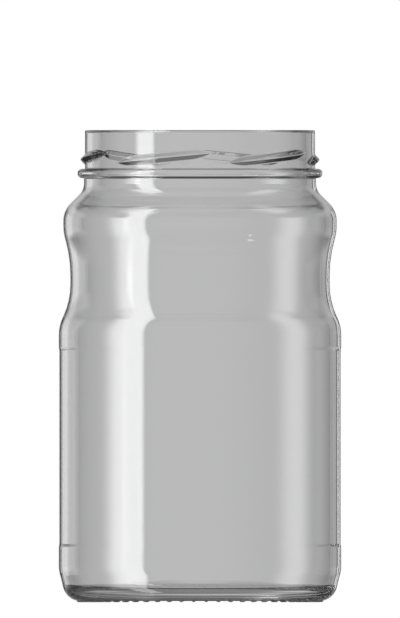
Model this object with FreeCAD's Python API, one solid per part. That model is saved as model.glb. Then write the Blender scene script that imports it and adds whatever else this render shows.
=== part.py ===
import FreeCAD, Part
import math
import os
from collections import namedtuple

# Twist-off glass jar: one moulded piece of clear glass, open at the top, for an 82 mm lug cap.
# Millimetres, +Z up. The origin is the middle of the base, on the plane that the jar stands on.
# Angles round the jar are in degrees, counted from the front (-Y) towards +X.
# Slopes are in degrees from the jar's axis.

# ---- whole jar
HEIGHT = 161.0                # standing plane to rim
BODY_RADIUS = 48.2            # above and below the label panel, the widest part
WALL = 2.7                    # glass thickness, all down the side to the label panel

# ---- finish: the plain wall, rim and bead that the cap closes on
FINISH_RADIUS = 39.25         # outside of the plain wall
RIM_OUTER_FILLET = 0.6
RIM_INNER_FILLET = 1.1
BEAD_DROP = 14.8              # rim to the middle of the bead
BEAD_DEPTH = 2.5              # how far the bead stands out of the plain wall
BEAD_HEIGHT = 3.3
BEAD_LAND = 0.2               # straight part of the bead's crest, between its rounded edges
BEAD_ROOT_FILLET = 0.3        # where the bead meets the wall above it and the neck below

# ---- cap lugs: ridges that climb round the finish, one for each lug of the cap
LUG_COUNT = 6
LUG_START = -47.0             # lower end of the first ridge
LUG_SPAN = 54.0               # angle that one ridge covers
LUG_TOP_DROP = 7.7            # rim to the crest at a ridge's upper end
LUG_CLIMB = 3.5               # how far the crest climbs along a ridge
LUG_DEPTH = 1.6               # how far the crest stands out of the wall
LUG_UPPER_FLANK = 1.65        # height of the slope above the crest
LUG_LOWER_FLANK = 1.6         # height of the slope below the crest
LUG_CREST_FILLET = 0.35
LUG_ROOT = 0.6                # how deep a ridge's root lies inside the wall
LUG_END_SIZE = 0.2            # size of a ridge's end sections, which lie inside the wall
LUG_FADE = 0.22               # share of a ridge over which each end grows to full size
LUG_STATIONS = 13             # sections that one ridge is lofted through

# ---- neck, shoulder and grip
NECK_STEP = 0.25              # the neck is this much larger in radius than the finish
NECK_LENGTH = 4.0             # bead down to where the shoulder's slope begins
NECK_FILLET = 5.5
SHOULDER_SLOPE = 45.0
SHOULDER_FILLET = 8.2
BULGE_INSET = 1.55            # the bulge is this much smaller in radius than the body
BULGE_LENGTH = 7.55
BULGE_FILLET = 17.2
GRIP_UPPER_SLOPE = 16.0       # bulge in to waist
WAIST_UPPER_FILLET = 44.3
WAIST_INSET = 3.95            # the waist is this much smaller in radius than the body
WAIST_LENGTH = 14.85
WAIST_LOWER_FILLET = 25.7
GRIP_LOWER_SLOPE = 25.0       # waist out to body
BODY_FILLET = 14.4

# ---- label panel: set in a little all round, so that jars touch above and below it
PANEL_DEPTH = 0.2
PANEL_STEP = 1.1              # height of the slope at the panel's upper and lower edge
PANEL_FILLET = 2.5
UPPER_BAND = 4.0              # end of the body's curve down to the panel
LOWER_BAND = 6.1              # end of the heel's curve up to the panel

# ---- heel and base
HEEL_HEIGHT = 11.05           # standing plane to where the heel turns in
HEEL_SLOPE = 14.0
HEEL_UPPER_FILLET = 12.0
HEEL_CORNER_FILLET = 6.1
BEARING_WIDTH = 2.4           # flat ring under the heel, which carries the bars
BEARING_FILLET = 1.5          # rounds that ring's inner edge
PUSH_UP_SLOPE = 34.0          # side of the hollow under the base
PUSH_UP_FILLET = 3.0
PUSH_UP_HEIGHT = 4.5          # standing plane to the top of the hollow
PUSH_UP_DOME_RADIUS = 560.0
FLOOR_HEIGHT = 8.1            # standing plane to the highest point of the inside floor
FLOOR_DOME_RADIUS = 277.0
FLOOR_FILLET = 2.1            # inside corner between floor and wall

# ---- bars under the base: round-backed, laid like spokes, all that touches the table
BAR_COUNT = 60
BAR_RADIUS = 0.6
BAR_STAND_OUT = 0.38          # how far a bar stands out of the bearing ring
BAR_LENGTH = 3.4
BAR_OVERHANG = 1.35           # how far a bar reaches out past the bearing ring's edge

ORIGIN = FreeCAD.Vector(0, 0, 0)
OUTWARDS = FreeCAD.Vector(1, 0, 0)
ALONG = FreeCAD.Vector(0, 1, 0)
UP = FreeCAD.Vector(0, 0, 1)

# A corner of an outline in the half-plane y = 0, x > 0, and the radius that rounds it.
Corner = namedtuple("Corner", "r z fillet")


def spot(corner):
    """A corner's place before it is rounded."""
    return FreeCAD.Vector(corner.r, 0, corner.z)


def line_at(slope):
    """Direction of a line that climbs towards the axis at a slope."""
    return UP * math.cos(math.radians(slope)) - OUTWARDS * math.sin(math.radians(slope))


def fall(sideways, slope):
    """How far an outline drops while it goes this far sideways at a slope."""
    return sideways / math.tan(math.radians(slope))


def curve_reach(fillet, turn):
    """How far a fillet reaches along its lines from a corner that turns by this many degrees."""
    return fillet * math.tan(math.radians(turn / 2))


def arc(centre, start, end, radius):
    """The shorter arc of this radius from start to end."""
    middle = centre + ((start - centre) + (end - centre)).normalize() * radius
    return Part.Arc(start, middle, end).toShape()


def rounded_edges(corners):
    """Straight lines from corner to corner, with a tangent arc in place of each corner between."""
    edges = []
    start = spot(corners[0])
    for before, corner, after in zip(corners, corners[1:], corners[2:]):
        tip = spot(corner)
        back = (spot(before) - tip).normalize()
        onward = (spot(after) - tip).normalize()
        half_angle = back.getAngle(onward) / 2
        reach = corner.fillet / math.tan(half_angle)
        centre = tip + (back + onward).normalize() * (corner.fillet / math.sin(half_angle))
        edges.append(Part.makeLine(start, tip + back * reach))
        edges.append(arc(centre, tip + back * reach, tip + onward * reach, corner.fillet))
        start = tip + onward * reach
    edges.append(Part.makeLine(start, spot(corners[-1])))
    return edges


def offset_inwards(corners, distance):
    """The corners between the ends of an outline that is listed downwards, moved towards the axis.

    Every line moves by the distance, and the arcs keep their centres.
    """
    tips = [spot(corner) for corner in corners]
    lines = [(below - above).normalize() for above, below in zip(tips, tips[1:])]
    moved = []
    for corner, above, below in zip(corners[1:], lines, lines[1:]):
        inward_above, inward_below = ALONG.cross(above), ALONG.cross(below)
        spread = 1 + inward_above.dot(inward_below)
        tip = spot(corner) + (inward_above + inward_below) * (distance / spread)
        turns_out = inward_above.dot(below) < 0
        fillet = corner.fillet + distance if turns_out else corner.fillet - distance
        moved.append(Corner(tip.x, tip.z, fillet))
    return moved


def dome_joint(apex_height, dome_radius, wall_start, wall_line, fillet, side):
    """Where a straight wall meets a dome that is centred on the axis, rounded by one fillet.

    wall_line points along the wall towards the dome. side is 1 where the fillet lies on top of the
    dome and -1 where it lies under it. Returns the wall's last corner, the fillet and the dome's arc.
    """
    dome_centre = FreeCAD.Vector(0, 0, apex_height - dome_radius)
    inward = (wall_line * wall_line.dot(OUTWARDS) - OUTWARDS).normalize()
    offset = spot(wall_start) + inward * fillet - dome_centre
    along = wall_line.dot(offset)
    reach = dome_radius + side * fillet
    travel = -along - side * math.sqrt(along ** 2 - offset.dot(offset) + reach ** 2)
    centre = dome_centre + offset + wall_line * travel
    wall_end = centre - inward * fillet
    dome_edge = dome_centre + (centre - dome_centre).normalize() * dome_radius
    apex = FreeCAD.Vector(0, 0, apex_height)
    fillet_arc = arc(centre, wall_end, dome_edge, fillet)
    dome_arc = arc(dome_centre, dome_edge, apex, dome_radius)
    return Corner(wall_end.x, wall_end.z, 0), fillet_arc, dome_arc


def side_corners(wall_radius):
    """The side of the jar from neck to heel, listed downwards, without bead, lugs and label panel.

    The wall is straight at wall_radius. Every other line stays where it is, whatever that radius.
    """
    neck_radius = FINISH_RADIUS + NECK_STEP
    bulge_radius = BODY_RADIUS - BULGE_INSET
    waist_radius = BODY_RADIUS - WAIST_INSET
    neck_end = HEIGHT - BEAD_DROP - BEAD_HEIGHT / 2 - NECK_LENGTH
    bulge_start = neck_end - fall(bulge_radius - neck_radius, SHOULDER_SLOPE)
    bulge_end = bulge_start - BULGE_LENGTH
    waist_start = bulge_end - fall(bulge_radius - waist_radius, GRIP_UPPER_SLOPE)
    waist_end = waist_start - WAIST_LENGTH
    body_start = waist_end - fall(wall_radius - waist_radius, GRIP_LOWER_SLOPE)
    heel_start = HEEL_HEIGHT - fall(BODY_RADIUS - wall_radius, HEEL_SLOPE)
    heel_run = (HEEL_HEIGHT - BAR_STAND_OUT) * math.tan(math.radians(HEEL_SLOPE))
    return [
        Corner(neck_radius, HEIGHT, RIM_INNER_FILLET),
        Corner(neck_radius, neck_end, NECK_FILLET),
        Corner(bulge_radius, bulge_start, SHOULDER_FILLET),
        Corner(bulge_radius, bulge_end, BULGE_FILLET),
        Corner(waist_radius, waist_start, WAIST_UPPER_FILLET),
        Corner(waist_radius, waist_end, WAIST_LOWER_FILLET),
        Corner(wall_radius, body_start, BODY_FILLET),
        Corner(wall_radius, heel_start, HEEL_UPPER_FILLET),
        Corner(BODY_RADIUS - heel_run, BAR_STAND_OUT, HEEL_CORNER_FILLET),
    ]


def finish_corners():
    """The outside of the finish: rim, plain wall and the bead under it."""
    bead_top = HEIGHT - BEAD_DROP + BEAD_HEIGHT / 2
    bead_fillet = (BEAD_HEIGHT - BEAD_LAND) / 2
    return [
        Corner(FINISH_RADIUS, HEIGHT, RIM_OUTER_FILLET),
        Corner(FINISH_RADIUS, bead_top, BEAD_ROOT_FILLET),
        Corner(FINISH_RADIUS + BEAD_DEPTH, bead_top, bead_fillet),
        Corner(FINISH_RADIUS + BEAD_DEPTH, bead_top - BEAD_HEIGHT, bead_fillet),
        Corner(FINISH_RADIUS + NECK_STEP, bead_top - BEAD_HEIGHT, BEAD_ROOT_FILLET),
    ]


def panel_corners(body, heel):
    """The label panel between the body's curve and the heel's: a slope in at its top, one out below."""
    top = body.z - curve_reach(body.fillet, GRIP_LOWER_SLOPE) - UPPER_BAND
    bottom = heel.z + curve_reach(heel.fillet, HEEL_SLOPE) + LOWER_BAND
    return [
        Corner(BODY_RADIUS, top, PANEL_FILLET),
        Corner(BODY_RADIUS - PANEL_DEPTH, top - PANEL_STEP, PANEL_FILLET),
        Corner(BODY_RADIUS - PANEL_DEPTH, bottom + PANEL_STEP, PANEL_FILLET),
        Corner(BODY_RADIUS, bottom, PANEL_FILLET),
    ]


def bearing_edge():
    """Radius at which the heel's corner runs out into the flat bearing ring."""
    return side_corners(BODY_RADIUS)[-1].r - curve_reach(HEEL_CORNER_FILLET, 90 - HEEL_SLOPE)


def glass_section():
    """The jar's cross-section on one side of the axis, as a face."""
    *grip, body, heel, heel_tip = side_corners(BODY_RADIUS)[1:]
    bearing_inner = Corner(bearing_edge() - BEARING_WIDTH, BAR_STAND_OUT, BEARING_FILLET)
    outside = finish_corners() + grip + [body] + panel_corners(body, heel)
    outside += [heel, heel_tip, bearing_inner]

    push_up_end, push_up_fillet, push_up_dome = dome_joint(
        PUSH_UP_HEIGHT, PUSH_UP_DOME_RADIUS, bearing_inner, line_at(PUSH_UP_SLOPE), PUSH_UP_FILLET, -1)

    inside = offset_inwards(side_corners(BODY_RADIUS - PANEL_DEPTH), WALL)
    bore_top = Corner(inside[0].r, HEIGHT, RIM_INNER_FILLET)
    floor_end, floor_fillet, floor_dome = dome_joint(
        FLOOR_HEIGHT, FLOOR_DOME_RADIUS, inside[-1], line_at(-HEEL_SLOPE) * -1, FLOOR_FILLET, 1)

    edges = [push_up_dome, push_up_fillet]
    edges += rounded_edges([push_up_end] + outside[::-1] + [bore_top] + inside + [floor_end])
    edges += [floor_fillet, floor_dome, Part.makeLine(UP * FLOOR_HEIGHT, UP * PUSH_UP_HEIGHT)]
    return Part.Face(Part.Wire(edges))


def around(shape, count, first):
    """Copies of a shape modelled over +X, evenly round the jar, with the first at this angle."""
    copies = []
    for index in range(count):
        copy = shape.copy()
        copy.rotate(ORIGIN, UP, first - 90 + 360 / count * index)
        copies.append(copy)
    return copies


def lug_section(size, crest_height):
    """One cross-section of a cap lug: a rounded ridge on a root inside the wall, scaled from that root."""
    root_radius = FINISH_RADIUS - LUG_ROOT
    crest_reach = (LUG_DEPTH + LUG_ROOT) * size
    spread = crest_reach / LUG_DEPTH
    low = Corner(root_radius, crest_height - LUG_LOWER_FLANK * spread, 0)
    crest = Corner(root_radius + crest_reach, crest_height, LUG_CREST_FILLET * size)
    high = Corner(root_radius, crest_height + LUG_UPPER_FLANK * spread, 0)
    return Part.Wire(rounded_edges([low, crest, high]) + [Part.makeLine(spot(high), spot(low))])


def cap_lug():
    """One ridge for a cap's lug, from its lower end over +X, growing out of the wall and back."""
    sections = []
    for station in range(LUG_STATIONS):
        share = station / (LUG_STATIONS - 1)
        growth = math.sin(math.pi / 2 * min(1, share / LUG_FADE, (1 - share) / LUG_FADE))
        crest_height = HEIGHT - LUG_TOP_DROP - LUG_CLIMB * (1 - share)
        section = lug_section(LUG_END_SIZE + (1 - LUG_END_SIZE) * growth, crest_height)
        section.rotate(ORIGIN, UP, LUG_SPAN * share)
        sections.append(section)
    return Part.makeLoft(sections, True, False)


def base_bar():
    """One round-ended bar under the base, lying outwards over +X with its lowest line at z = 0."""
    outer_end = bearing_edge() + BAR_OVERHANG
    inner_end = outer_end - BAR_LENGTH
    tip, start = OUTWARDS * outer_end, OUTWARDS * (outer_end - BAR_RADIUS)
    tail, end = OUTWARDS * inner_end, OUTWARDS * (inner_end + BAR_RADIUS)
    back = [
        arc(start, tip, start + UP * BAR_RADIUS, BAR_RADIUS),
        Part.makeLine(start + UP * BAR_RADIUS, end + UP * BAR_RADIUS),
        arc(end, end + UP * BAR_RADIUS, tail, BAR_RADIUS),
        Part.makeLine(tail, tip),
    ]
    bar = Part.Face(Part.Wire(back)).revolve(ORIGIN, OUTWARDS, 360)
    bar.translate(UP * BAR_RADIUS)
    return bar


def jar():
    """The whole jar as one solid."""
    body = glass_section().revolve(ORIGIN, UP, 360)
    lugs = around(cap_lug(), LUG_COUNT, LUG_START)
    bars = around(base_bar(), BAR_COUNT, 180 / BAR_COUNT)
    return body.fuse(lugs + bars).removeSplitter()


os.makedirs("parts", exist_ok=True)
jar().exportStep("parts/jar.step")
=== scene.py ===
"""A clear glass twist-off jar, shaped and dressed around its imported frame.

Metres, +Z up, with the origin in the middle of the base. Angles round the jar are in degrees,
counted from the front (-Y) towards +X. Slopes are in degrees from the jar's axis.
"""

import logging
import math
from dataclasses import dataclass, field
from enum import Enum
from typing import Any, Union

import bpy
import numpy as np
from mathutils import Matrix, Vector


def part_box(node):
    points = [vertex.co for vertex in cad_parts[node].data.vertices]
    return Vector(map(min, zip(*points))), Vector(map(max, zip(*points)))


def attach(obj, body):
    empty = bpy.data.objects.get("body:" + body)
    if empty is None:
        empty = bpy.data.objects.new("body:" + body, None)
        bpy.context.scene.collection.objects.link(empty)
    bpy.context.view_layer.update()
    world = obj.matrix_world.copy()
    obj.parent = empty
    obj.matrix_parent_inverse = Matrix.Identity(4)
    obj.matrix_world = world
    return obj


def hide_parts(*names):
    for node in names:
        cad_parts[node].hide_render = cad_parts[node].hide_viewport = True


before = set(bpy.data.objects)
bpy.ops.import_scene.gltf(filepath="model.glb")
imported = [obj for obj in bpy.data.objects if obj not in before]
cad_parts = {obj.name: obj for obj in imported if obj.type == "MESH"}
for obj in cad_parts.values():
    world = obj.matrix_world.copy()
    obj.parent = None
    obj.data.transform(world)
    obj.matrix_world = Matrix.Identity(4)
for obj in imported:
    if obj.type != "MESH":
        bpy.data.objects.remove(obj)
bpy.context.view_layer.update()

MM = 0.001
DEGREES = 180.0 / math.pi
SAME_RADIUS = 1e-9
ARC_STEP = 8.0
DOME_ROWS = np.array([0.8, 0.55, 0.3, 0.1])
WHITE = (1.0, 1.0, 1.0, 1.0)
LOG = logging.getLogger("jar")


def placed(name: str, data: bpy.types.ID) -> bpy.types.Object:
    """A new object at the origin, in the scene."""
    made = bpy.data.objects.new(name, data)
    bpy.context.scene.collection.objects.link(made)
    return made


# ---- section lines


@dataclass(frozen=True)
class Corner:
    """A corner of the jar's section before it is rounded, in metres.

    Attributes:
        r: Distance from the axis.
        z: Height above the standing plane.
        fillet: Radius of the arc that rounds the corner.
    """

    r: float
    z: float
    fillet: float = 0.0

    @property
    def spot(self) -> np.ndarray:
        """The corner as a point (r, z)."""
        return np.array([self.r, self.z])


@dataclass
class Run:
    """Section points in order, each with the direction that the glass faces there.

    Attributes:
        spots: Points (r, z), one row each.
        facings: Unit vectors (r, z) that point out of the glass.
    """

    spots: np.ndarray
    facings: np.ndarray

    @staticmethod
    def joined(runs: list["Run"]) -> "Run":
        """Several runs, end to end."""
        return Run(np.vstack([run.spots for run in runs]), np.vstack([run.facings for run in runs]))

    def part(self, first: int, last: Union[int, None] = None) -> "Run":
        """The points from first up to but not including last."""
        return Run(self.spots[first:last], self.facings[first:last])


def unit(vector: np.ndarray) -> np.ndarray:
    """The vector made one metre long."""
    return vector / np.linalg.norm(vector)


def turned(vector: np.ndarray, angles: np.ndarray) -> np.ndarray:
    """A vector (r, z) turned anticlockwise by each of several angles in radians, one row each."""
    cos, sin = np.cos(angles), np.sin(angles)
    return np.stack([vector[0] * cos - vector[1] * sin, vector[0] * sin + vector[1] * cos], axis=1)


def right_of(direction: np.ndarray) -> np.ndarray:
    """The direction a quarter turn to the right, which is out of the glass along a section."""
    return np.array([direction[1], -direction[0]])


def turn_between(first: np.ndarray, second: np.ndarray) -> float:
    """Anticlockwise turn from one direction to another, in radians."""
    return math.atan2(first[0] * second[1] - first[1] * second[0], float(first @ second))


def arc_turns(turn: float, least: int) -> np.ndarray:
    """Turns along an arc in radians, from 0 to its whole turn, at most ARC_STEP degrees apart."""
    return np.linspace(0, turn, max(least, math.ceil(math.degrees(abs(turn)) / ARC_STEP)) + 1)


def rounded_run(corners: list[Corner]) -> Run:
    """Points along straight lines between corners, with each inner corner rounded by its arc.

    An arc starts where its circle touches the incoming line and turns by the angle between the
    lines. The glass lies on the left of the run, so its facing is the right of the direction.

    Args:
        corners: The corners in order, the first and last of which stay sharp.

    Returns:
        The run, without the first corner and with the last.
    """
    runs = []
    for before, corner, after in zip(corners, corners[1:], corners[2:]):
        into, onward = unit(corner.spot - before.spot), unit(after.spot - corner.spot)
        turn = turn_between(into, onward)
        touch = corner.spot - into * corner.fillet * math.tan(abs(turn) / 2)
        side = math.copysign(corner.fillet, turn)
        facings = turned(right_of(into), arc_turns(turn, 2))
        runs.append(Run(touch - side * right_of(into) + side * facings, facings))
    direction = unit(corners[-1].spot - corners[-2].spot)
    runs.append(Run(corners[-1].spot[None], right_of(direction)[None]))
    return Run.joined(runs)


def offset_inwards(corners: list[Corner], distance: float) -> list[Corner]:
    """The corners between the ends of an outline listed downwards, moved towards the axis.

    Every line moves by the distance and the arcs keep their centres, so a fillet grows by the
    distance where the outline turns outwards and shrinks where it turns inwards.

    Args:
        corners: The outer wall's corners.
        distance: Thickness of the glass.

    Returns:
        The inner wall's corners, two fewer than were given.
    """
    moved = []
    for before, corner, after in zip(corners, corners[1:], corners[2:]):
        above, below = unit(corner.spot - before.spot), unit(after.spot - corner.spot)
        inward_above, inward_below = right_of(above), right_of(below)
        spot = corner.spot + (inward_above + inward_below) * distance / (1 + inward_above @ inward_below)
        grows = inward_above @ below < 0
        moved.append(Corner(spot[0], spot[1], corner.fillet + (distance if grows else -distance)))
    return moved


def dome_run(apex: float, radius: float, wall: Corner, line: np.ndarray, fillet: float, side: int) -> Run:
    """A straight wall's fillet into a dome on the axis, and the dome up to its middle.

    The fillet's centre is one fillet from the wall's line and one fillet from the dome's sphere,
    which gives a quadratic for its place along the line.

    Args:
        apex: Height of the dome's middle.
        radius: The dome's radius.
        wall: A point on the wall.
        line: Unit direction along the wall towards the dome.
        fillet: Radius between wall and dome.
        side: 1 where the fillet lies on top of the dome, -1 where it lies under it.

    Returns:
        The run from the wall inwards, ending beside the axis and facing away from the fillet's glass.
    """
    dome_centre = np.array([0.0, apex - radius])
    inward = unit(line * line[0] - np.array([1.0, 0.0]))
    start = wall.spot + inward * fillet - dome_centre
    along = line @ start
    travel = -along - side * math.sqrt(along**2 - start @ start + (radius + side * fillet) ** 2)
    centre = dome_centre + start + line * travel
    from_wall, to_dome = -inward, unit(dome_centre - centre) * side
    arc = turned(from_wall, arc_turns(turn_between(from_wall, to_dome), 3))
    fillet_run = Run(centre + fillet * arc, -arc)
    edge = centre + fillet * arc[-1]
    angles = math.asin(edge[0] / radius) * DOME_ROWS
    radial = np.stack([np.sin(angles), np.cos(angles)], axis=1)
    return Run.joined([fillet_run, Run(dome_centre + radius * radial, radial * side)])


# ---- belts of glass


class Mesh(Enum):
    """How finely a belt of the glass is divided round the jar."""

    COARSE = "coarse"
    FINE = "fine"


@dataclass(frozen=True)
class Round:
    """The directions round the jar at which the surface is worked out.

    The fine set is closer together over each base bar, and holds every direction of the coarse set.

    Attributes:
        bars: Number of bars under the base.
        coarse_steps: Coarse directions from the middle of one bar to the next, in degrees.
        fine_steps: Fine directions in the same stretch.
    """

    bars: int = 60
    coarse_steps: tuple[float, ...] = (0.0, 1.0, 2.0, 3.0, 4.0, 5.0)
    fine_steps: tuple[float, ...] = (0.0, 0.3, 0.55, 0.75, 1.0, 2.0, 3.0, 4.0, 5.0, 5.25, 5.45, 5.7)

    @property
    def pitch(self) -> float:
        """Degrees from one bar to the next."""
        return 360.0 / self.bars

    def angles(self, mesh: Mesh) -> np.ndarray:
        """All the directions of one set, in degrees, starting over the middle of a bar."""
        steps = np.array(self.coarse_steps if mesh is Mesh.COARSE else self.fine_steps)
        bars = np.arange(self.bars) * self.pitch + self.pitch / 2
        return (bars[:, None] + steps[None, :]).ravel()

    def shared(self) -> np.ndarray:
        """For each coarse direction, its number in the fine set."""
        inside = np.searchsorted(np.array(self.fine_steps), np.array(self.coarse_steps))
        return (np.arange(self.bars)[:, None] * len(self.fine_steps) + inside[None, :]).ravel()


@dataclass
class Belt:
    """Rows of points round the jar.

    Attributes:
        mesh: Which set of directions the rows use.
        spots: Points, an array of rows by directions by three.
        facings: Directions that the glass faces, or zeros where the mesh works them out.
    """

    mesh: Mesh
    spots: np.ndarray
    facings: np.ndarray


class BeltMaker:
    """Turns sections into belts."""

    def __init__(self, round_jar: Round) -> None:
        """Keeps the directions round the jar."""
        self.round_jar = round_jar

    def place(self, mesh: Mesh, r: np.ndarray, z: np.ndarray) -> np.ndarray:
        """Points at radius r and height z in each direction.

        x is the radius times the sine of the angle, and y is minus the radius times its cosine.

        Args:
            mesh: Which set of directions to use.
            r: Radii, rows by directions, or rows by one.
            z: Heights, or the upward parts of directions, in the same form.

        Returns:
            An array of rows by directions by three.
        """
        angles = np.radians(self.round_jar.angles(mesh))[None, :]
        r, z = np.broadcast_arrays(r + 0 * angles, z + 0 * angles)
        return np.stack([r * np.sin(angles), -r * np.cos(angles), z], axis=2)

    def turned_belt(self, mesh: Mesh, run: Run) -> Belt:
        """A run carried round the axis unchanged."""
        return Belt(mesh,
                    self.place(mesh, run.spots[:, :1], run.spots[:, 1:]),
                    self.place(mesh, run.facings[:, :1], run.facings[:, 1:]))


# ---- the jar's features


@dataclass(frozen=True)
class Finish:
    """Rim, plain wall and bead that the cap closes on.

    The bead's drop is from the rim down to its middle, and its land is the flat of its crest. The
    neck's step is how much wider it is than the wall, and its length reaches down to the shoulder.
    """

    radius: float = 39.25 * MM
    rim_outer_fillet: float = 0.6 * MM
    rim_inner_fillet: float = 1.1 * MM
    bead_drop: float = 14.8 * MM
    bead_depth: float = 2.5 * MM
    bead_height: float = 3.3 * MM
    bead_land: float = 0.2 * MM
    root_fillet: float = 0.3 * MM
    neck_step: float = 0.34 * MM
    neck_length: float = 4.0 * MM

    def bead_corners(self, height: float) -> list[Corner]:
        """The bead's corners and the rim's.

        Args:
            height: Height of the rim.

        Returns:
            Five corners, listed upwards from the neck.
        """
        top = height - self.bead_drop + self.bead_height / 2
        fillet = (self.bead_height - self.bead_land) / 2
        crest = self.radius + self.bead_depth
        return [
            Corner(self.radius + self.neck_step, top - self.bead_height, self.root_fillet),
            Corner(crest, top - self.bead_height, fillet),
            Corner(crest, top, fillet),
            Corner(self.radius, top, self.root_fillet),
            Corner(self.radius, height, self.rim_outer_fillet),
        ]


@dataclass(frozen=True)
class CapLugs:
    """Six ridges that climb round the finish, one for each lug of the cap.

    Start and span are in degrees, and the top drop is from the rim down to the crest's upper end. A
    ridge begins with the end size, a share, and swells over the share of its length called fade.
    Steps are rows across a flank, as shares of its width, and the rows below and above lie on the
    plain wall, as shares of the way.
    """

    count: int = 6
    start: float = -47.0
    span: float = 54.0
    top_drop: float = 7.7 * MM
    climb: float = 3.5 * MM
    depth: float = 1.6 * MM
    upper_flank: float = 1.65 * MM
    lower_flank: float = 1.6 * MM
    crest_rounding: float = 0.25 * MM
    root_rounding: float = 0.15 * MM
    root: float = 0.6 * MM
    end_size: float = 0.2
    fade: float = 0.22
    margin: float = 0.05 * MM
    steps: tuple[float, ...] = (0.0, 0.07, 0.14, 0.25, 0.4, 0.55, 0.7, 0.8, 0.87, 0.93, 1.0)
    rows_below: tuple[float, ...] = (0.3, 0.65, 0.9)
    rows_above: tuple[float, ...] = (0.92, 0.7, 0.35, 0.0)

    def course(self, angles: np.ndarray, height: float) -> tuple[np.ndarray, np.ndarray]:
        """Where the crest runs and how far it stands out, in each direction.

        Along a ridge the share goes from 0 to 1, the crest climbs in proportion, and the size
        swells and fades as the sine of a quarter turn. In the gap the line drops back on an S curve.

        Args:
            angles: Directions round the jar, in degrees.
            height: Height of the rim.

        Returns:
            Crest heights, and crest reaches out of the wall, negative where a ridge lies inside it.
        """
        pitch = 360.0 / self.count
        share = np.mod(angles - self.start, pitch) / self.span
        gap = np.clip((share - 1) / (pitch / self.span - 1), 0, 1)
        climbed = np.where(share < 1, share, 1 - gap * gap * (3 - 2 * gap))
        crest = height - self.top_drop - self.climb * (1 - climbed)
        growth = np.sin(np.pi / 2 * np.clip(np.minimum(share, 1 - share) / self.fade, 0, 1))
        size = self.end_size + (1 - self.end_size) * growth
        return crest, (self.depth + self.root) * size - self.root

    def belt(self, maker: BeltMaker, radius: float, bottom: float, top: float, height: float) -> Belt:
        """The plain wall of the finish with its ridges.

        Rows follow the crest line. Across a ridge the wall stands out by the crest's reach less the
        slope times the distance from the crest, with a parabola over the crest and another in each
        root, so it is never below the plain wall.

        Args:
            maker: Places points round the jar.
            radius: Outside of the plain wall.
            bottom: Height where the bead's root ends.
            top: Height where the rim's rounding starts.
            height: Height of the rim.

        Returns:
            The belt, without its bottom row.
        """
        crest, reach = self.course(maker.round_jar.angles(Mesh.COARSE), height)
        steps = np.array(self.steps)
        across = np.concatenate([-steps[::-1], steps[1:]])[:, None]
        slope = np.where(across > 0, self.depth / self.upper_flank, self.depth / self.lower_flank)
        width = (np.maximum(reach, 0)[None, :] + self.root_rounding) / slope + self.margin
        away = np.abs(across) * width
        blunt = self.crest_rounding
        away_round = np.where(away < blunt, (away**2 + blunt**2) / (2 * blunt), away)
        out = reach[None, :] - slope * away_round
        soft = self.root_rounding
        out = np.where(out > soft, out, np.clip(out + soft, 0, None) ** 2 / (4 * soft))
        band = crest[None, :] + across * width
        below = bottom + (band[:1] - bottom) * np.array(self.rows_below)[:, None]
        above = top - (top - band[-1:]) * np.array(self.rows_above)[:, None]
        z = np.vstack([below, band, above])
        r = radius + np.vstack([0 * below, out, 0 * above])
        facings = maker.place(Mesh.COARSE, np.ones((len(z), 1)), np.zeros((len(z), 1)))
        facings[len(below) + 1 : len(below) + len(band) - 1] = 0
        return Belt(Mesh.COARSE, maker.place(Mesh.COARSE, r, z), facings)


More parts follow.
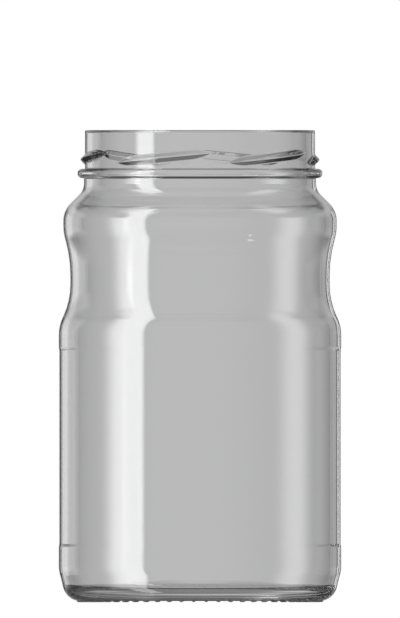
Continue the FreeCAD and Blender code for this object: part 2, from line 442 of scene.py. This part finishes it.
@dataclass(frozen=True)
class Side:
    """Neck, shoulder, waisted grip, body with its recessed label panel, and heel.

    A fillet rounds the corner it is named after. An inset is how much narrower a part is than the
    body, a length is how far its straight line goes down, and a step is as high as its slope. The
    bands are the straight walls above and below the panel.
    """

    body_radius: float
    wall: float = 2.7 * MM
    neck_fillet: float = 5.5 * MM
    shoulder_slope: float = 45.0
    shoulder_fillet: float = 8.2 * MM
    bulge_inset: float = 1.55 * MM
    bulge_length: float = 7.55 * MM
    bulge_fillet: float = 17.2 * MM
    grip_upper_slope: float = 16.0
    waist_upper_fillet: float = 44.3 * MM
    waist_inset: float = 3.95 * MM
    waist_length: float = 14.85 * MM
    waist_lower_fillet: float = 25.7 * MM
    grip_lower_slope: float = 25.0
    body_fillet: float = 14.4 * MM
    panel_depth: float = 0.2 * MM
    panel_step: float = 1.1 * MM
    panel_fillet: float = 2.5 * MM
    upper_band: float = 4.0 * MM
    lower_band: float = 6.1 * MM
    heel_height: float = 11.05 * MM
    heel_slope: float = 14.0
    heel_upper_fillet: float = 12.0 * MM
    heel_corner_fillet: float = 6.1 * MM

    @property
    def panel_radius(self) -> float:
        """Radius of the label panel."""
        return self.body_radius - self.panel_depth

    @staticmethod
    def fall(sideways: float, slope: float) -> float:
        """How far the outline drops while it goes this far sideways at a slope."""
        return sideways / math.tan(math.radians(slope))

    @staticmethod
    def curve_reach(fillet: float, turn: float) -> float:
        """How far a fillet reaches along its lines from a corner that turns by this many degrees."""
        return fillet * math.tan(math.radians(turn / 2))

    def corners(self, wall_radius: float, finish: Finish, height: float, ring_height: float) -> list[Corner]:
        """The outline from the top of the neck's line down to the bearing ring, without the panel.

        Args:
            wall_radius: Radius of the straight wall. Every other line stays where it is.
            finish: Gives the neck's radius and where it ends.
            height: Height of the rim.
            ring_height: Height of the bearing ring under the heel.

        Returns:
            Nine corners, listed downwards.
        """
        neck = finish.radius + finish.neck_step
        bulge = self.body_radius - self.bulge_inset
        waist = self.body_radius - self.waist_inset
        neck_end = height - finish.bead_drop - finish.bead_height / 2 - finish.neck_length
        bulge_start = neck_end - self.fall(bulge - neck, self.shoulder_slope)
        bulge_end = bulge_start - self.bulge_length
        waist_start = bulge_end - self.fall(bulge - waist, self.grip_upper_slope)
        waist_end = waist_start - self.waist_length
        body_start = waist_end - self.fall(wall_radius - waist, self.grip_lower_slope)
        heel_start = self.heel_height - self.fall(self.body_radius - wall_radius, self.heel_slope)
        heel_run = (self.heel_height - ring_height) * math.tan(math.radians(self.heel_slope))
        return [
            Corner(neck, height, finish.rim_inner_fillet),
            Corner(neck, neck_end, self.neck_fillet),
            Corner(bulge, bulge_start, self.shoulder_fillet),
            Corner(bulge, bulge_end, self.bulge_fillet),
            Corner(waist, waist_start, self.waist_upper_fillet),
            Corner(waist, waist_end, self.waist_lower_fillet),
            Corner(wall_radius, body_start, self.body_fillet),
            Corner(wall_radius, heel_start, self.heel_upper_fillet),
            Corner(self.body_radius - heel_run, ring_height, self.heel_corner_fillet),
        ]

    def panel(self, body: Corner, heel: Corner) -> list[Corner]:
        """The label panel's edges: in at its top, out at its bottom.

        Args:
            body: The corner where the body starts.
            heel: The corner where it turns in.

        Returns:
            Four corners, listed downwards.
        """
        top = body.z - self.curve_reach(body.fillet, self.grip_lower_slope) - self.upper_band
        bottom = heel.z + self.curve_reach(heel.fillet, self.heel_slope) + self.lower_band
        return [
            Corner(self.body_radius, top, self.panel_fillet),
            Corner(self.panel_radius, top - self.panel_step, self.panel_fillet),
            Corner(self.panel_radius, bottom + self.panel_step, self.panel_fillet),
            Corner(self.body_radius, bottom, self.panel_fillet),
        ]

    def bearing_edge(self, corners: list[Corner]) -> float:
        """Radius at which the heel's corner runs out into the bearing ring."""
        return corners[-1].r - self.curve_reach(self.heel_corner_fillet, 90 - self.heel_slope)


@dataclass(frozen=True)
class Base:
    """Bearing ring with its bars, the hollow under the base, and the floor inside.

    The push-up is the hollow's dome, and a bar's overhang is how far it reaches out past the ring.
    Rows across the bars are in millimetres from the heel's edge of the ring, inner rows are shares
    of the turn of the ring's inner rounding, and heel rows are their number on the heel's corner.
    """

    ring_height: float = 0.38 * MM
    ring_width: float = 2.4 * MM
    ring_fillet: float = 1.5 * MM
    push_up_slope: float = 34.0
    push_up_fillet: float = 3.0 * MM
    push_up_height: float = 4.5 * MM
    push_up_radius: float = 560.0 * MM
    floor_height: float = 8.1 * MM
    floor_radius: float = 277.0 * MM
    floor_fillet: float = 2.1 * MM
    bar_radius: float = 0.6 * MM
    bar_length: float = 3.4 * MM
    bar_overhang: float = 1.35 * MM
    rows: tuple[float, ...] = (-2.3, -2.14, -2.05, -2.0, -1.9, -1.75, -1.5, -1.1, -0.5, 0.0, 0.4, 0.75,
                               0.95, 1.1, 1.22, 1.3, 1.35, 1.45, 1.7)
    inner_rows: tuple[float, ...] = (1.0, 0.75, 0.5)
    heel_rows: int = 8

    def hollow(self, edge: float) -> Run:
        """The hollow under the base.

        Args:
            edge: Radius where the heel's corner meets the flat ring.

        Returns:
            The run from beside the axis out to the hollow's straight side.
        """
        slope = math.radians(self.push_up_slope)
        line = np.array([-math.sin(slope), math.cos(slope)])
        wall = Corner(edge - self.ring_width, self.ring_height)
        run = dome_run(self.push_up_height, self.push_up_radius, wall, line, self.push_up_fillet, -1)
        return Run(run.spots[::-1], run.facings[::-1])

    def floor(self, wall: Corner, slope: float) -> Run:
        """The inside floor, from its fillet up the wall to beside the axis."""
        lean = math.radians(slope)
        line = np.array([-math.sin(lean), -math.cos(lean)])
        return dome_run(self.floor_height, self.floor_radius, wall, line, self.floor_fillet, 1)

    def ring_belt(self, maker: BeltMaker, edge: float, corner: Corner, slope: float) -> Belt:
        """The bearing ring and the heel's corner, with the round-backed bars across them.

        The plain surface rises from the flat ring on a small arc inwards and on the heel's corner
        arc outwards. A bar is a capsule on its side: its surface is a radius below its middle line,
        by the square root of the radius squared less the distances squared across it and past its
        ends. The glass is at whichever of the two is lower.

        Args:
            maker: Places points round the jar.
            edge: Radius where the heel's corner meets the flat ring.
            corner: The heel's lower corner.
            slope: The heel's slope.

        Returns:
            The belt from the hollow's side to the heel's straight line.
        """
        turn = math.radians(90 - self.push_up_slope)
        flat = edge - self.ring_width + self.ring_fillet * math.tan(turn / 2)
        fine = np.array(self.rows) * MM + edge
        r = np.concatenate([flat - self.ring_fillet * np.sin(turn * np.array(self.inner_rows)), fine])
        r = np.unique(r[(r < flat) | (r >= fine[0])])
        inner = self.ring_fillet - np.sqrt(self.ring_fillet**2 - np.clip(flat - r, 0, None) ** 2)
        outer = corner.fillet - np.sqrt(corner.fillet**2 - np.clip(r - edge, 0, None) ** 2)
        plain = (self.ring_height + inner + outer)[:, None]
        angles = maker.round_jar.angles(Mesh.FINE)
        pitch = maker.round_jar.pitch
        from_bar = np.abs(np.mod(angles, pitch) - pitch / 2)
        across = r[:, None] * np.sin(np.radians(from_bar))[None, :]
        far_end = edge + self.bar_overhang - self.bar_radius
        near_end = edge + self.bar_overhang - self.bar_length + self.bar_radius
        past = np.clip(np.maximum(near_end - r, r - far_end), 0, None)[:, None]
        depth = np.sqrt(np.clip(self.bar_radius**2 - across**2 - past**2, 0, None))
        z = np.where(depth > 0, np.minimum(plain, self.bar_radius - depth), plain)
        start = math.degrees(math.asin((r[-1] - edge) / corner.fillet))
        arc = np.radians(np.linspace(start, 90 - slope, self.heel_rows + 1)[1:])[:, None]
        rising = self.ring_height + corner.fillet * (1 - np.cos(arc))
        r = np.vstack([r[:, None], edge + corner.fillet * np.sin(arc)])
        z = np.vstack([z, np.repeat(rising, z.shape[1], axis=1)])
        spots = maker.place(Mesh.FINE, r, z)
        facings = np.zeros_like(spots)
        facings[-len(arc) :] = maker.place(Mesh.FINE, np.sin(arc), -np.cos(arc))
        return Belt(Mesh.FINE, spots, facings)


# ---- the whole shell


@dataclass
class GlassShell:
    """The jar's glass: one closed surface worked out in belts round the axis.

    The height is the rim's, and the body's radius is that above and below the label panel.
    """

    height: float
    body_radius: float
    finish: Finish = field(default_factory=Finish)
    lugs: CapLugs = field(default_factory=CapLugs)
    base: Base = field(default_factory=Base)
    round_jar: Round = field(default_factory=Round)

    def belts(self) -> list[Belt]:
        """The whole surface from under the base, up the outside, over the rim and down the inside.

        Returns:
            Belts in order, the first and last of which end beside the axis.
        """
        side = Side(self.body_radius)
        maker = BeltMaker(self.round_jar)
        down = side.corners(self.body_radius, self.finish, self.height, self.base.ring_height)
        lining = side.corners(side.panel_radius, self.finish, self.height, self.base.ring_height)
        edge = side.bearing_edge(down)
        outline = down[:7] + side.panel(down[6], down[7]) + down[7:]
        bead = self.finish.bead_corners(self.height)
        outside = rounded_run(outline[:0:-1] + bead + [Corner(0, self.height)])
        bead_top = bead[3].z + self.finish.root_fillet
        wall_top = self.height - self.finish.rim_outer_fillet
        on_wall = np.abs(outside.spots[:, 0] - self.finish.radius) < SAME_RADIUS
        first_wall = int(np.argmax(on_wall))
        inside = offset_inwards(lining, side.wall)
        bore = Corner(inside[0].r, self.height, self.finish.rim_inner_fillet)
        rim_in = Corner(self.finish.radius, self.height)
        hollow = self.base.hollow(edge)
        floor = self.base.floor(inside[-1], side.heel_slope)
        inner = rounded_run([rim_in, bore] + inside + [Corner(floor.spots[0, 0], floor.spots[0, 1])])
        rim_out = outside.part(first_wall + 2, -1)
        return [
            maker.turned_belt(Mesh.COARSE, hollow),
            self.base.ring_belt(maker, edge, down[-1], side.heel_slope),
            maker.turned_belt(Mesh.COARSE, outside.part(0, first_wall + 1)),
            self.lugs.belt(maker, self.finish.radius, bead_top, wall_top, self.height),
            maker.turned_belt(Mesh.COARSE, rim_out),
            maker.turned_belt(Mesh.COARSE, Run.joined([inner.part(0, -1), floor])),
        ]

    def strip(self, low: np.ndarray, high: np.ndarray) -> list[tuple[int, ...]]:
        """Faces between two neighbouring rows, each wound so that it faces out of the glass.

        Rows of the same set give four-sided faces. Where the sets differ, a face has one side on
        the coarse row and all the fine row's points between its ends.

        Args:
            low: Point numbers of the row that comes first.
            high: Point numbers of the row that comes next.

        Returns:
            The faces as tuples of point numbers.
        """
        if len(low) == len(high):
            faces = np.stack([low, np.roll(low, -1), np.roll(high, -1), high], axis=1)
            return list(map(tuple, faces.tolist()))
        shared = self.round_jar.shared()
        fine_up = len(high) > len(low)
        fine, coarse = (high, low) if fine_up else (low, high)
        ends = np.append(shared[1:], shared[0] + len(fine))
        faces = []
        for width in sorted(set((ends - shared).tolist())):
            chosen = np.flatnonzero(ends - shared == width)
            along = fine[(shared[chosen][:, None] + np.arange(width + 1)[None, :]) % len(fine)]
            near, far = coarse[chosen][:, None], np.roll(coarse, -1)[chosen][:, None]
            loop = np.hstack([near, far, along[:, ::-1]]) if fine_up else np.hstack([along, far, near])
            faces += list(map(tuple, loop.tolist()))
        return faces

    def build(self) -> bpy.types.Object:
        """Joins the belts and the two poles into one closed, smooth mesh.

        Returns:
            The glass as an object at the origin.
        """
        belts = self.belts()
        rows, count = [], 1
        for belt in belts:
            for row in belt.spots:
                rows.append(np.arange(count, count + len(row)))
                count += len(row)
        under = [[0.0, 0.0, self.base.push_up_height]]
        floor = [[0.0, 0.0, self.base.floor_height]]
        down, up = [[0.0, 0.0, -1.0]], [[0.0, 0.0, 1.0]]
        spots = np.vstack([under] + [belt.spots.reshape(-1, 3) for belt in belts] + [floor])
        outs = np.vstack([down] + [belt.facings.reshape(-1, 3) for belt in belts] + [up])
        first, last = rows[0], rows[-1]
        faces = [(0, b, a) for a, b in zip(first.tolist(), np.roll(first, -1).tolist())]
        for low, high in zip(rows, rows[1:]):
            faces += self.strip(low, high)
        faces += [(a, b, count) for a, b in zip(last.tolist(), np.roll(last, -1).tolist())]
        mesh = bpy.data.meshes.new("jar_glass")
        mesh.from_pydata(spots.tolist(), [], faces)
        mesh.validate()
        mesh.polygons.foreach_set("use_smooth", np.ones(len(mesh.polygons), bool))
        mesh.normals_split_custom_set_from_vertices(outs.tolist())
        mesh.update()
        LOG.info("jar_glass: %d points, %d faces", len(spots), len(faces))
        return placed("jar_glass", mesh)


# ---- shader maths


Number = Union[float, int, "Wire"]
Pair = tuple[float, float]
Edges = tuple[float, float, float, float]


class Board:
    """A node tree under construction."""

    def __init__(self, tree: bpy.types.NodeTree) -> None:
        """Starts with an empty tree."""
        self.tree = tree
        tree.nodes.clear()

    def node(self, kind: str, settings: Union[dict[str, Any], None] = None,
             inputs: Union[dict[Union[str, int], Any], None] = None) -> bpy.types.Node:
        """Adds one node.

        Args:
            kind: The node's type.
            settings: Its own settings, which are put in first.
            inputs: Values or wires for its sockets, by name or number.

        Returns:
            The node.
        """
        node = self.tree.nodes.new(kind)
        for name, value in (settings or {}).items():
            setattr(node, name, value)
        for name, value in (inputs or {}).items():
            if isinstance(value, Wire):
                self.tree.links.new(value.socket, node.inputs[name])
            else:
                node.inputs[name].default_value = value
        return node

    def wire(self, node: bpy.types.Node, output: Union[str, int] = 0) -> "Wire":
        """One output of a node, ready for maths."""
        return Wire(self, node.outputs[output])

    def spot(self) -> "Wire":
        """The place on the piece, in metres."""
        return self.wire(self.node("ShaderNodeTexCoord"), "Object")

    def noise(self, spot: "Wire", scale: float, detail: float) -> "Wire":
        """Cloudy numbers from 0 to 1, closer together as the scale goes up."""
        return self.wire(self.node(
            "ShaderNodeTexNoise", inputs={"Vector": spot, "Scale": scale, "Detail": detail}))

    def maths(self, operation: str, *values: Number) -> "Wire":
        """A Math node on numbers and wires."""
        return self.wire(self.node("ShaderNodeMath", {"operation": operation}, dict(enumerate(values))))

    def rise(self, value: Number, start: float, end: float) -> "Wire":
        """0 before start and 1 past end, on an S curve between; end may lie below start."""
        return self.wire(self.node(
            "ShaderNodeMapRange", {"interpolation_type": "SMOOTHSTEP"},
            {"Value": value, "From Min": start, "From Max": end, "To Min": 0.0, "To Max": 1.0}))

    def window(self, value: Number, edges: Edges) -> "Wire":
        """1 between the two middle edges, falling to 0 at the outer ones."""
        return self.rise(value, edges[0], edges[1]) * self.rise(value, edges[3], edges[2])

    def directions(self, vector: "Wire") -> tuple["Wire", "Wire"]:
        """Angles of a vector round the jar, in degrees towards +X: from the front, and from the back."""
        parts = self.node("ShaderNodeSeparateXYZ", inputs={0: vector})
        x, y = self.wire(parts, "X"), self.wire(parts, "Y")
        return self.maths("ARCTAN2", x, -1.0 * y) * DEGREES, self.maths("ARCTAN2", x, y) * DEGREES

    def blend(self, first: float, last: float, share: "Wire") -> "Wire":
        """The first number where the share is 0, the last where it is 1."""
        return first + (last - first) * share

    def no_more_than(self, depth: str, most: int) -> "Wire":
        """1 for light whose path has no more than this many steps of one kind, and 0 for the rest."""
        return self.maths("LESS_THAN", self.wire(self.node("ShaderNodeLightPath"), depth), most + 0.5)

    def first_crossing(self) -> "Wire":
        """1 for light that has not yet gone through the whole jar, and 0 for the rest."""
        return self.no_more_than("Transmission Depth", 3)


class Wire:
    """A shader socket that can be added, taken away and multiplied like a number."""

    def __init__(self, board: Board, socket: bpy.types.NodeSocket) -> None:
        """Keeps the socket and the board it is on."""
        self.board = board
        self.socket = socket

    def __add__(self, other: Number) -> "Wire":
        """Sum."""
        return self.board.maths("ADD", self, other)

    __radd__ = __add__

    def __sub__(self, other: Number) -> "Wire":
        """Difference."""
        return self.board.maths("SUBTRACT", self, other)

    def __rsub__(self, other: Number) -> "Wire":
        """Difference from a plain number."""
        return self.board.maths("SUBTRACT", other, self)

    def __mul__(self, other: Number) -> "Wire":
        """Product."""
        return self.board.maths("MULTIPLY", self, other)

    __rmul__ = __mul__


def new_material(name: str) -> tuple[bpy.types.Material, Board]:
    """A new material and its empty board."""
    made = bpy.data.materials.new(name)
    made.use_nodes = True
    return made, Board(made.node_tree)


# ---- finishes


@dataclass(frozen=True)
class ClearGlass:
    """Colourless moulded glass, bright from the fire, a little worn where jars touch each other.

    Attributes:
        tint: Colour that one pass through the surface keeps.
        ior: How strongly the glass bends light.
        polish: Roughness of untouched glass.
        scuff: Extra roughness above and below the label panel, and on the standing bars.
        scuffed: Noise at which a scuff begins and at which it is full.
        bands: Start, full, full and end of the two worn bands, in millimetres above the table.
        band_share: Share of the wear that the bands get.
        standing: Heights in millimetres at which the wear of the bars ends and is full.
        wave: Height of the slow waviness that moulding leaves.
        fine: Scale and detail of the scuffs.
        slow: Scale and detail of the waves.
    """

    tint: tuple[float, float, float] = (0.985, 0.988, 0.987)
    ior: float = 1.5
    polish: float = 0.0
    scuff: float = 0.05
    scuffed: Pair = (0.45, 0.75)
    bands: tuple[Edges, Edges] = ((86.6, 87.4, 90.5, 91.5), (12.5, 14.0, 18.1, 18.9))
    band_share: float = 0.5
    standing: Pair = (0.5, 0.1)
    wave: float = 0.004 * MM
    fine: Pair = (420.0, 3.0)
    slow: Pair = (38.0, 1.0)

    def material(self) -> bpy.types.Material:
        """Makes the material."""
        made, board = new_material("clear_glass")
        spot = board.spot()
        up = board.wire(board.node("ShaderNodeSeparateXYZ", inputs={0: spot}), "Z") * (1 / MM)
        upper, lower = (board.window(up, band) for band in self.bands)
        rubbed = (upper + lower) * self.band_share + board.rise(up, *self.standing)
        worn = board.rise(board.noise(spot, *self.fine), *self.scuffed) * rubbed * self.scuff
        bump = board.node("ShaderNodeBump", inputs={
            "Strength": 1.0, "Distance": self.wave, "Height": board.noise(spot, *self.slow)})
        glass = board.node("ShaderNodeBsdfPrincipled", inputs={
            "Base Color": (*self.tint, 1.0), "Roughness": worn + self.polish, "IOR": self.ior,
            "Transmission Weight": 1.0, "Normal": board.wire(bump)})
        board.node("ShaderNodeOutputMaterial", inputs={"Surface": board.wire(glass)})
        return made


@dataclass(frozen=True)
class PaleFloor:
    """A plain pale table top, lit softly from within, with a trace of tooth.

    Attributes:
        shade: Its grey, where 1 is white.
        glow: Brightness of its own light.
        dullness: Its roughness.
        shine: How much it mirrors.
        grain: Scale and detail of its grain.
        tooth: Height of the grain.
        relief: How strongly the grain shows.
    """

    shade: float = 0.9
    glow: float = 0.3
    dullness: float = 0.9
    shine: float = 0.1
    grain: Pair = (600.0, 4.0)
    tooth: float = 0.1 * MM
    relief: float = 0.2

    def material(self) -> bpy.types.Material:
        """Makes the material."""
        made, board = new_material("pale_floor")
        grain = board.noise(board.spot(), *self.grain)
        bump = board.node("ShaderNodeBump", inputs={
            "Strength": self.relief, "Distance": self.tooth, "Height": grain})
        paint = board.node("ShaderNodeBsdfPrincipled", inputs={
            "Base Color": (self.shade, self.shade, self.shade, 1.0), "Roughness": self.dullness,
            "Specular IOR Level": self.shine, "Emission Color": WHITE,
            "Emission Strength": self.glow, "Normal": board.wire(bump)})
        board.node("ShaderNodeOutputMaterial", inputs={"Surface": board.wire(paint)})
        return made


# ---- studio


EYE_LEVEL: Edges = (-8.0, -4.0, 5.0, 9.0)
OVERHEAD: Edges = (31.0, 34.0, 60.0, 66.0)


@dataclass(frozen=True)
class SoftLight:
    """A soft light far away, given by the directions that it fills.

    Attributes:
        azimuth: Start, full, full and end of its width, in degrees towards +X.
        elevation: The same for its height, in degrees above the horizon.
        strength: Its brightness.
    """

    azimuth: Edges
    elevation: Edges
    strength: float = 1.0

    def seen(self, board: Board, azimuth: Wire, elevation: Wire) -> Wire:
        """Its brightness in each direction."""
        return self.strength * board.window(azimuth, self.azimuth) * board.window(elevation, self.elevation)


@dataclass(frozen=True)
class SidePanel:
    """A bent translucent panel that stands beside the jar, level with its bead, and glows softly.

    Attributes:
        azimuth: Start, full, full and end of the glow, in degrees from the front towards +X.
        strength: Its brightness.
        radius: Distance from the jar's axis.
        bottom: Height of its lower edge.
        top: Height of its upper edge.
        strips: Number of flat strips that make its curve.
    """

    azimuth: Edges
    strength: float
    radius: float = 115.0 * MM
    bottom: float = -40.0 * MM
    top: float = 147.0 * MM
    strips: int = 24

    def material(self) -> bpy.types.Material:
        """Glass-clear itself, with a glow that it adds to whatever is behind it."""
        made, board = new_material("side_panel")
        made.cycles.emission_sampling = "NONE"
        azimuth, _ = board.directions(board.spot())
        glow = board.window(azimuth, self.azimuth) * self.strength * board.first_crossing()
        light = board.wire(board.node("ShaderNodeEmission", inputs={"Strength": glow}))
        clear = board.wire(board.node("ShaderNodeBsdfTransparent"))
        both = board.node("ShaderNodeAddShader", inputs={0: light, 1: clear})
        board.node("ShaderNodeOutputMaterial", inputs={"Surface": board.wire(both)})
        return made

    def hang(self, name: str) -> bpy.types.Object:
        """Puts the panel in place, seen only in the glass.

        Args:
            name: The panel's name.

        Returns:
            The panel.
        """
        angles = np.radians(np.linspace(self.azimuth[0], self.azimuth[3], self.strips + 1))
        columns = np.stack([self.radius * np.sin(angles), -self.radius * np.cos(angles)], axis=1)
        spots = [(x, y, z) for x, y in columns.tolist() for z in (self.bottom, self.top)]
        faces = [(n, n + 2, n + 3, n + 1) for n in range(0, len(spots) - 2, 2)]
        mesh = bpy.data.meshes.new(name)
        mesh.from_pydata(spots, [], faces)
        mesh.materials.append(self.material())
        panel = placed(name, mesh)
        panel.visible_camera = False
        panel.visible_diffuse = False
        panel.visible_shadow = False
        return panel


@dataclass(frozen=True)
class Studio:
    """Plain pale surroundings, a strong light on the left, soft panels left and right.

    Light that has not gone through the whole jar sees the studio. Light that has sees only the
    backdrop, so that the near wall stays easy to read. Angles are in degrees from the front, or
    from the back for what lies behind.

    Attributes:
        lights: Lights that the glass mirrors.
        edge_lights: Narrow lights behind, which draw the lines along the jar's outline.
        edge_strip: The one straight behind.
        panels: Panels beside the jar.
        room: Brightness in front, on the left and on the right half.
        room_turn: Where one half passes into the other.
        room_width: How far round the room reaches.
        room_foot: Elevations between which it begins.
        table: Brightness of the table top behind, seen at a slant and seen steeply.
        slant, steep: Elevations between which each of the two begins.
        wall: Brightness behind, on the left and on the right half.
        wall_turn: Where one half passes into the other.
        wall_width: How far round the wall reaches.
        wall_glow: Height of its main glow and of its weak one.
        weak_glow: Share of the weak glow.
        wall_dip: Share lost at eye level, where the first mirroring sees none of the wall.
        backdrop: Brightness in its patches and away from them.
        patch, front_patch: The patches straight behind and in front.
        loft: Elevations between which the backdrop darkens.
        loft_loss: Share that it loses.
    """

    lights: tuple[SoftLight, ...] = (
        SoftLight((-70.5, -65.5, -49.5, -47.5), (-62.0, -58.0, 50.0, 58.0), 4.8),
        SoftLight((-92.0, -70.6, -70.4, -65.5), OVERHEAD, 4.2),
        SoftLight((64.0, 84.0, 90.0, 108.0), OVERHEAD, 1.85),
    )
    edge_lights: tuple[SoftLight, ...] = (
        SoftLight((-164.0, -160.0, -127.0, -123.0), EYE_LEVEL, 0.75),
        SoftLight((112.0, 118.0, 136.0, 140.0), EYE_LEVEL, 0.3),
        SoftLight((138.0, 142.0, 156.0, 158.0), EYE_LEVEL, 0.4),
        SoftLight((160.0, 162.0, 165.0, 167.0), EYE_LEVEL, 1.2),
    )
    edge_strip: SoftLight = SoftLight((-10.0, -7.0, 7.0, 10.0), EYE_LEVEL, 0.5)
    panels: tuple[SidePanel, ...] = (
        SidePanel((-74.0, -56.6, -56.4, -52.4), 4.2),
        SidePanel((51.0, 67.5, 73.0, 88.5), 1.85),
    )
    room: Pair = (0.3, 0.16)
    room_turn: Pair = (0.0, 40.0)
    room_width: Edges = (-100.0, -85.0, 85.0, 100.0)
    room_foot: Pair = (-75.0, -60.0)
    table: Pair = (0.05, 0.46)
    slant: Pair = (0.0, -6.0)
    steep: Pair = (-30.0, -65.0)
    wall: Pair = (0.6, 0.4)
    wall_turn: Pair = (-50.0, 50.0)
    wall_width: Edges = (-66.0, -52.0, 52.0, 66.0)
    wall_glow: tuple[Edges, Edges] = ((-14.0, -2.0, 14.0, 21.0), (-14.0, -2.0, 26.0, 32.0))
    weak_glow: float = 0.3
    wall_dip: float = 0.6
    backdrop: Pair = (0.52, 0.27)
    patch: SoftLight = SoftLight((-24.0, -3.0, 3.0, 16.0), (-32.0, -20.0, 36.0, 50.0))
    front_patch: SoftLight = SoftLight((-60.0, -30.0, 30.0, 60.0), (-70.0, -50.0, 50.0, 70.0))
    loft: Pair = (42.0, 58.0)
    loft_loss: float = 0.8

    def near(self, board: Board, angles: tuple[Wire, Wire, Wire]) -> Wire:
        """Brightness of the studio in each direction.

        The room fills the front, and the table top what is left below the horizon. The wall behind
        is the sum of its two glows less the dip at eye level, where the first mirroring sees the
        edge lights instead.

        Args:
            board: The world's board.
            angles: Angle from the front, from the back and above the horizon.

        Returns:
            The brightness.
        """
        azimuth, behind, elevation = angles
        front = board.window(azimuth, self.room_width) * board.rise(elevation, *self.room_foot)
        room = board.blend(*self.room, board.rise(azimuth, *self.room_turn)) * front
        slanting, steeply = self.table
        low = (slanting * board.rise(elevation, *self.slant)
               + (steeply - slanting) * board.rise(elevation, *self.steep))
        first = board.no_more_than("Glossy Depth", 1)
        main, weak = (board.window(elevation, edges) for edges in self.wall_glow)
        glow = (1.0 - self.weak_glow) * main + self.weak_glow * weak
        dip = board.window(elevation, EYE_LEVEL) * board.blend(self.wall_dip, 1.0, first)
        shade = board.blend(*self.wall, board.rise(behind, *self.wall_turn))
        wall = board.window(behind, self.wall_width) * glow * (1.0 - dip) * shade
        total = room + low * (1.0 - front) + wall
        for soft in self.lights:
            total = total + soft.seen(board, azimuth, elevation)
        edge = self.edge_strip.seen(board, behind, elevation)
        for soft in self.edge_lights:
            edge = edge + soft.seen(board, azimuth, elevation)
        return total + edge * first

    def far(self, board: Board, angles: tuple[Wire, Wire, Wire]) -> Wire:
        """Brightness of the backdrop, which is patchy straight behind and in front and darkens high up.

        Args:
            board: The world's board.
            angles: Angle from the front, from the back and above the horizon.

        Returns:
            The brightness.
        """
        azimuth, behind, elevation = angles
        bright, dim = self.backdrop
        front = self.front_patch.seen(board, azimuth, elevation)
        patches = self.patch.seen(board, behind, elevation) + front
        high = board.rise(elevation, *self.loft) * (1.0 - front)
        return board.blend(dim, bright, patches) * (1.0 - self.loft_loss * high)

    def light(self) -> None:
        """Sets the world's light and hangs the panels."""
        for number, panel in enumerate(self.panels):
            panel.hang(f"side_panel_{number}")
        world = bpy.data.worlds.new("studio")
        bpy.context.scene.world = world
        world.use_nodes = True
        board = Board(world.node_tree)
        towards = board.wire(board.node("ShaderNodeTexCoord"), "Generated")
        height = board.wire(board.node("ShaderNodeSeparateXYZ", inputs={0: towards}), "Z")
        angles = (*board.directions(towards), board.maths("ARCSINE", height) * DEGREES)
        shallow = board.first_crossing()
        seen = self.near(board, angles) * shallow + self.far(board, angles) * (1.0 - shallow)
        direct = board.wire(board.node("ShaderNodeLightPath"), "Is Camera Ray")
        strength = seen * (1.0 - direct) + direct
        sky = board.node("ShaderNodeBackground", inputs={"Color": WHITE, "Strength": strength})
        board.node("ShaderNodeOutputWorld", inputs={"Surface": board.wire(sky)})


@dataclass(frozen=True)
class View:
    """A level view from the front, without perspective.

    Attributes:
        frame_height: Height of the frame.
        middle: Height of the frame's middle.
        distance: How far in front the camera stands.
        bounces: How often light may be bent or mirrored on its way.
    """

    frame_height: float = 210.738 * MM
    middle: float = 99.98 * MM
    distance: float = 1.2
    bounces: int = 24

    def place(self) -> None:
        """Makes the camera and how its picture is developed."""
        data = bpy.data.cameras.new("front_view")
        data.type = "ORTHO"
        data.ortho_scale = self.frame_height
        camera = placed("front_view", data)
        camera.location = (0.0, -self.distance, self.middle)
        camera.rotation_euler = (math.pi / 2, 0.0, 0.0)
        scene = bpy.context.scene
        scene.camera = camera
        scene.view_settings.view_transform = "Standard"
        scene.cycles.use_denoising = True
        scene.cycles.max_bounces = self.bounces
        scene.cycles.transmission_bounces = self.bounces
        scene.cycles.glossy_bounces = self.bounces


def lay_floor(finish: PaleFloor, radius: float = 1.5, sides: int = 96) -> bpy.types.Object:
    """A round table top under the jar, seen straight and by soft light but not through the glass.

    Args:
        finish: The top's finish.
        radius: Its radius.
        sides: Number of straight sides that make its edge.

    Returns:
        The floor.
    """
    angles = np.linspace(0, 2 * np.pi, sides, endpoint=False)
    rim = np.stack([radius * np.cos(angles), radius * np.sin(angles), 0 * angles], axis=1)
    mesh = bpy.data.meshes.new("floor")
    mesh.from_pydata(rim.tolist(), [], [tuple(range(sides))])
    mesh.materials.append(finish.material())
    floor = placed("floor", mesh)
    floor.visible_glossy = False
    floor.visible_transmission = False
    return floor


def main() -> None:
    """Builds the jar, the table top, the light and the view."""
    logging.basicConfig(level=logging.INFO, format="%(name)s: %(message)s")
    low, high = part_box("jar")
    shell = GlassShell(height=high.z, body_radius=(high.x - low.x) / 2)
    glass = shell.build()
    glass.data.materials.append(ClearGlass().material())
    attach(glass, "root")
    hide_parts("jar")
    lay_floor(PaleFloor())
    Studio().light()
    View().place()
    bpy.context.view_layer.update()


if __name__ == "__main__":
    main()
